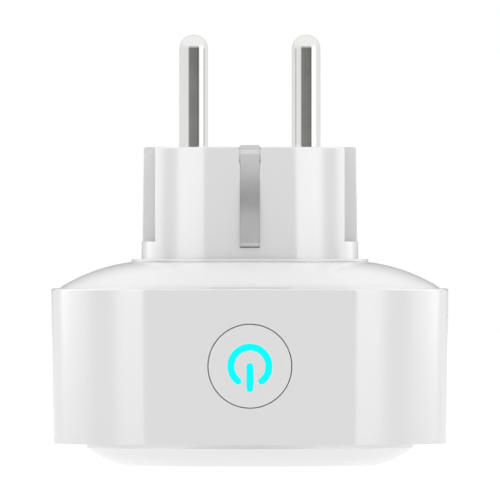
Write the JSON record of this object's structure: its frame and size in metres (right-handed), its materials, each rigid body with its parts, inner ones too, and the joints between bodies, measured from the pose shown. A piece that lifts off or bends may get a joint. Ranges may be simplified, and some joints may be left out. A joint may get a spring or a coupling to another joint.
{
  "type": "smart plug",
  "caption": "Round white smart plug with a recessed earthed socket, round pins, earth clips and a lit push button on its flat side.",
  "frame": {"origin": "centre of the socket's rim, on the plug's axis", "axes": "+Z along the axis towards the plug's pins, +X along the line of the two pins, -Y the way the button looks"},
  "size_m": [0.0672, 0.0572, 0.0728],
  "materials": {
    "white_shell": "smooth satin-gloss white moulding",
    "white_cup": "smooth white moulding, a little less bright inside the recess",
    "white_button": "smooth satin white",
    "shutter_plastic": "plain natural white",
    "carrier_plastic": "heat-resistant cream plastic",
    "pin_nickel": "polished nickel plating",
    "clip_metal": "nickel-plated sheet, finely drawn",
    "contact_brass": "bare stamped brass",
    "screw_steel": "zinc-plated steel",
    "spring_steel": "bright spring wire",
    "board_laminate": "green solder mask",
    "relay_case": "blue relay case",
    "capacitor_sleeve": "dark shrink sleeve",
    "film_case": "yellow box capacitor",
    "choke_ferrite": "black ferrite",
    "varistor_coat": "blue epoxy dip",
    "fuse_case": "brown fuse case",
    "module_shield": "tinned shield can on a small board",
    "black_plastic": "black nylon",
    "plunger_plastic": "black switch plunger",
    "led_lens": "clear lens over the chip",
    "icon_light": "lit cyan light guide"
  },
  "bodies": {
    "housing": {"front_shell": "white_shell", "socket_cup": "white_cup", "cup_screws": "screw_steel", "shutter_spring": "spring_steel", "contact_carrier": "carrier_plastic", "centre_screw": "screw_steel", "contact_live": "contact_brass", "contact_neutral": "contact_brass", "earth_spring_front": "clip_metal", "earth_spring_rear": "clip_metal", "earth_ring": "clip_metal", "rear_cover": "white_shell", "plug_body": "white_shell", "plug_screws": "screw_steel", "pin_live": "pin_nickel", "pin_neutral": "pin_nickel", "strap_live": "contact_brass", "strap_neutral": "contact_brass", "earth_clip_front": "clip_metal", "earth_clip_rear": "clip_metal", "main_board": "board_laminate", "board_screws": "screw_steel", "relay": "relay_case", "capacitor_main": "capacitor_sleeve", "capacitor_output": "capacitor_sleeve", "capacitor_film": "film_case", "choke": "choke_ferrite", "varistor": "varistor_coat", "fuse": "fuse_case", "wireless_module": "module_shield", "button_board": "board_laminate", "button_board_screws": "screw_steel", "link_header": "black_plastic", "leds": "led_lens", "switch_body": "black_plastic", "button_spring": "spring_steel"},
    "button": {"button_cap": "white_button", "light_guide": "icon_light"},
    "plunger": {"switch_plunger": "plunger_plastic"},
    "shutter": {"shutter": "shutter_plastic"}
  },
  "joints": [
    {"name": "button_press", "type": "slide", "parent": "housing", "child": "button", "axis": [0, 1, 0], "range_m": [0, 0.0004], "stiffness_N_per_m": 3000, "deforming": ["button_spring"]},
    {"name": "plunger_press", "type": "slide", "parent": "housing", "child": "plunger", "axis": [0, 1, 0], "range_m": [0, 0.0004]},
    {"name": "shutter_turn", "type": "hinge", "parent": "housing", "child": "shutter", "pos_m": [0, 0, 0.0205], "axis": [0, 0, 1], "range_deg": [0, 37.8], "stiffness_Nm_per_rad": 0.003, "deforming": ["shutter_spring"]}
  ],
  "couplings": [
    {"joint": "plunger_press", "follows": "button_press", "ratio": 1}
  ]
}
